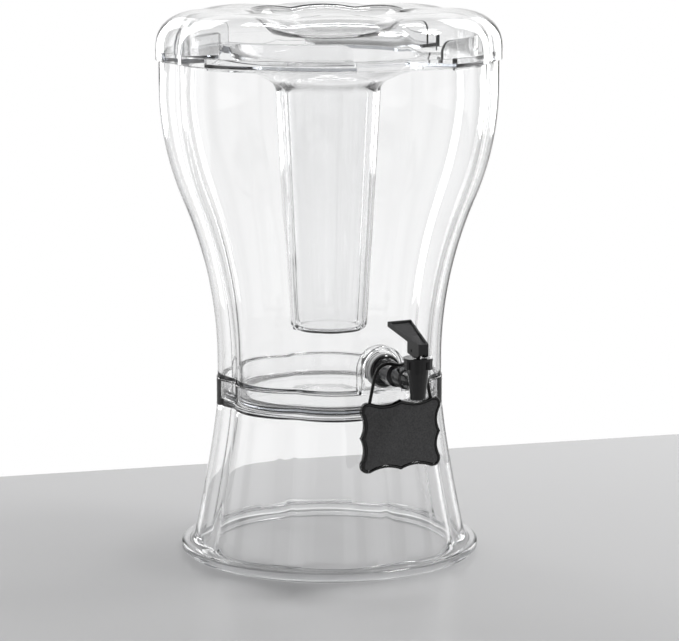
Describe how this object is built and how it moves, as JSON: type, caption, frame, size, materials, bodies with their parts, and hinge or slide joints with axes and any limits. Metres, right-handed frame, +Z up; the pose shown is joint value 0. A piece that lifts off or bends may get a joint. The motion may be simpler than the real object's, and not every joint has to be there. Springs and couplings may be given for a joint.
{
  "type": "drink dispenser",
  "caption": "Clear lobed drink dispenser: a tulip vessel on a flared pedestal, with a hanging ice tube, a puffed lid, a black lever tap and a small chalk sign on a cord.",
  "frame": {"origin": "on the dispenser's axis, at the floor that the foot ring stands on", "axes": "+Z up; -Y towards the tap, the sign and the person who fills a cup"},
  "size_m": [0.2804, 0.3061, 0.4595],
  "materials": {
    "clear_plastic": "clear moulded plastic, polished",
    "black_plastic": "black moulded plastic, glossy",
    "sign_black": "black plastic, glossy rim",
    "chalk_face": "dark grey chalk face, matte and fine-grained",
    "silicone": "pale translucent silicone",
    "steel": "plain steel wire",
    "cord": "black round cord"
  },
  "bodies": {
    "base": {"pedestal": "clear_plastic"},
    "reservoir": {"vessel": "clear_plastic", "tap_body": "black_plastic", "front_washer": "silicone", "rear_washer": "silicone", "lock_nut": "black_plastic", "bonnet": "black_plastic", "stem_seal": "silicone", "return_spring": "steel"},
    "core": {"ice_core": "clear_plastic"},
    "cover": {"lid": "clear_plastic"},
    "plunger": {"stem": "black_plastic", "seat_cup": "silicone"},
    "handle": {"lever": "black_plastic", "lever_pin": "black_plastic"},
    "plaque": {"sign_frame": "sign_black", "sign_panel": "chalk_face", "sign_cord": "cord"}
  },
  "joints": [
    {"name": "vessel_lift", "type": "slide", "parent": "base", "child": "reservoir", "axis": [0, 0, 1], "range_m": [0, 0.06]},
    {"name": "core_lift", "type": "slide", "parent": "reservoir", "child": "core", "axis": [0, 0, 1], "range_m": [0, 0.25]},
    {"name": "lid_lift", "type": "slide", "parent": "core", "child": "cover", "axis": [0, 0, 1], "range_m": [0, 0.1]},
    {"name": "stem_rise", "type": "slide", "parent": "reservoir", "child": "plunger", "axis": [0, 0, 1], "range_m": [0, 0.003], "deforming": ["return_spring"]},
    {"name": "lever_tilt", "type": "hinge", "parent": "plunger", "child": "handle", "pos_m": [0, -0.154, 0.1975], "axis": [1, 0, 0], "range_deg": [0, 50], "stiffness_Nm_per_rad": 0.0036, "springref_deg": -65.89},
    {"name": "sign_swing", "type": "hinge", "parent": "reservoir", "child": "plaque", "pos_m": [0, -0.1245, 0.171], "axis": [0, 1, 0], "range_deg": [-20, 20]}
  ],
  "couplings": [
    {"joint": "stem_rise", "follows": "lever_tilt", "m_per_rad": 0.003437}
  ]
}
